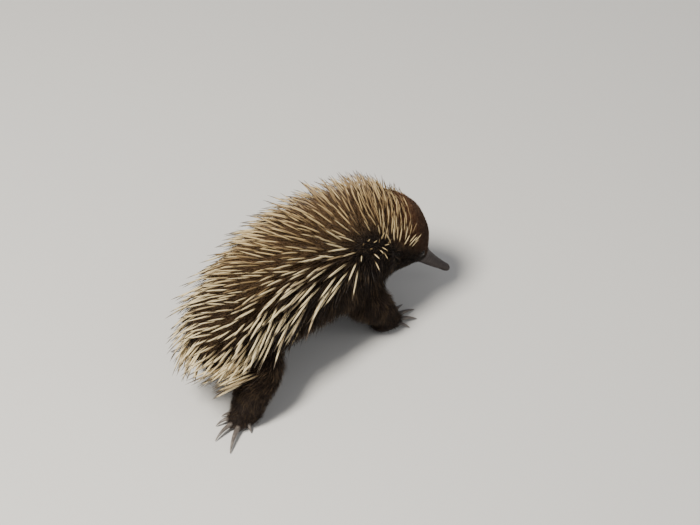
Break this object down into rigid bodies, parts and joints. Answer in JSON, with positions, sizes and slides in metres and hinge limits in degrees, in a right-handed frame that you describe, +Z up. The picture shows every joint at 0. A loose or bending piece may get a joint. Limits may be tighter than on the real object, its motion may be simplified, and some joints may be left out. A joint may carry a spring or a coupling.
{
  "type": "echidna",
  "caption": "Life-size short-beaked echidna as a still model, walking with its head lowered and turned right: domed spiny body, slender beak, splayed clawed feet.",
  "frame": {"origin": "on the floor under the middle of the animal's bounding box", "axes": "+X the way the body faces, its right side towards -Y, +Z up from the soles"},
  "size_m": [0.3878, 0.1716, 0.1869],
  "materials": {
    "spiny_coat": "cream, tan and dark banded spines over dark underfur",
    "dark_fur": "coarse blackish-brown fur",
    "brown_fur": "dense reddish-brown fur with short spines",
    "beak_skin": "bare slate-grey skin, softly shining",
    "foot_skin": "dark wrinkled skin with short hairs",
    "claw_horn": "grey-brown horn, worn and half glossy",
    "eye": "glossy black bead"
  },
  "bodies": {
    "root": {"rump": "spiny_coat", "trunk": "spiny_coat", "shoulders": "spiny_coat", "neck": "brown_fur", "head": "brown_fur", "beak": "beak_skin", "jaw": "beak_skin", "eye_right": "eye", "eye_left": "eye", "ear_right": "brown_fur", "ear_left": "brown_fur", "tail": "dark_fur", "foreleg_right": "dark_fur", "forefoot_right": "foot_skin", "claw_fore_right_1": "claw_horn", "claw_fore_right_2": "claw_horn", "claw_fore_right_3": "claw_horn", "claw_fore_right_4": "claw_horn", "claw_fore_right_5": "claw_horn", "foreleg_left": "dark_fur", "forefoot_left": "foot_skin", "claw_fore_left_1": "claw_horn", "claw_fore_left_2": "claw_horn", "claw_fore_left_3": "claw_horn", "claw_fore_left_4": "claw_horn", "claw_fore_left_5": "claw_horn", "hindleg_right": "dark_fur", "hindfoot_right": "foot_skin", "claw_hind_right_1": "claw_horn", "claw_hind_right_2": "claw_horn", "claw_hind_right_3": "claw_horn", "claw_hind_right_4": "claw_horn", "claw_hind_right_5": "claw_horn", "hindleg_left": "dark_fur", "hindfoot_left": "foot_skin", "claw_hind_left_1": "claw_horn", "claw_hind_left_2": "claw_horn", "claw_hind_left_3": "claw_horn", "claw_hind_left_4": "claw_horn", "claw_hind_left_5": "claw_horn"}
  },
  "joints": []
}
